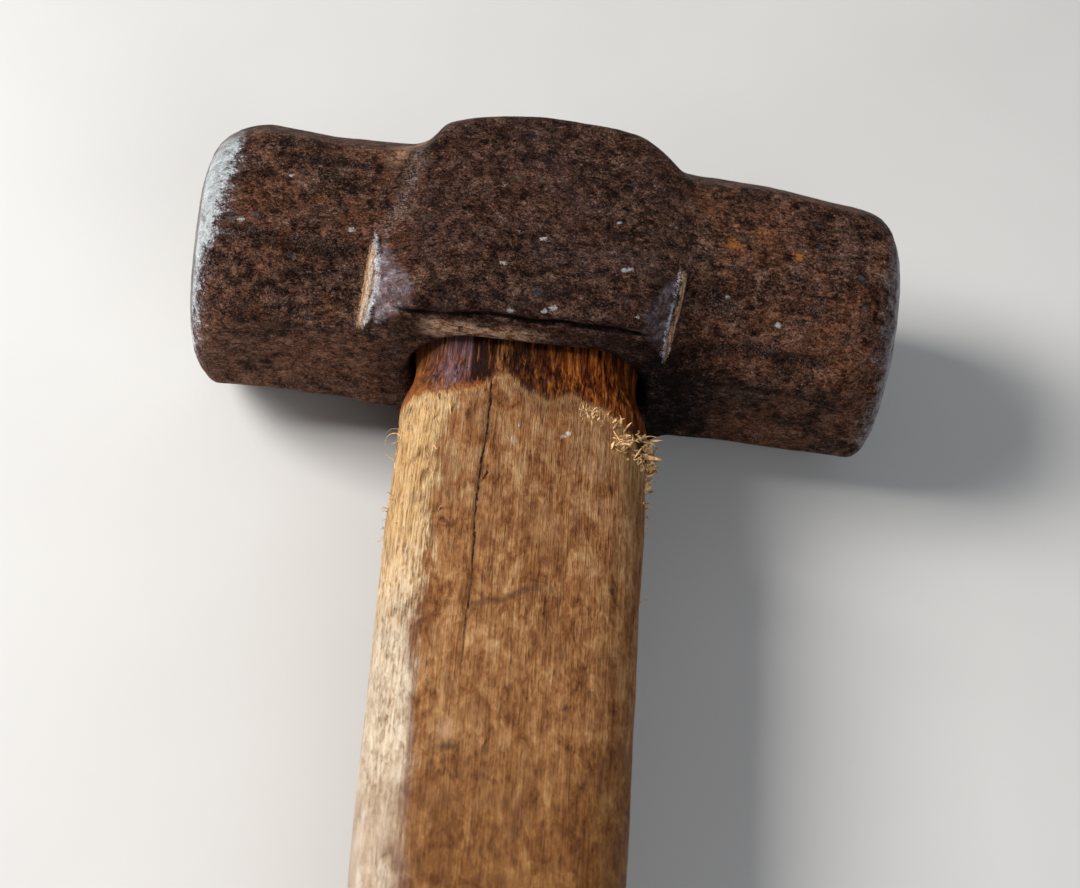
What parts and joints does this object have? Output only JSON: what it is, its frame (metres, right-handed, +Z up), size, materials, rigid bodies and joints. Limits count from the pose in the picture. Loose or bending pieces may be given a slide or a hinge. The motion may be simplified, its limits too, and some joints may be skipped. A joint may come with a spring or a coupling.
{
  "type": "club hammer",
  "caption": "Worn double-faced club hammer for masonry: forged steel head with octagonal necks and a swollen eye block on an oval wooden handle held by wood and steel wedges.",
  "frame": {"origin": "on the resting cheek of the head, straight under the middle of the eye", "axes": "+X along the head towards the right striking face, -Y along the handle towards its butt, +Z up out of the upper cheek when the hammer lies on its other cheek"},
  "size_m": [0.112, 0.2601, 0.043],
  "materials": {
    "forged_steel": "dark rust-brown patina with mottling and pale specks, rubbed to blue-grey steel at the rims of both striking faces",
    "handle_wood": "weathered straw to amber-brown hardwood with dark long grain, a crack, and a band of old dark varnish at the head",
    "wedge_wood": "old dry hardwood end grain, darker than the handle",
    "wedge_steel": "dull grey-brown steel, lightly rusted, hammered over at the driven end"
  },
  "bodies": {
    "root": {"head": "forged_steel", "handle": "handle_wood", "wooden_wedge": "wedge_wood", "steel_wedge_left": "wedge_steel", "steel_wedge_right": "wedge_steel"}
  },
  "joints": []
}
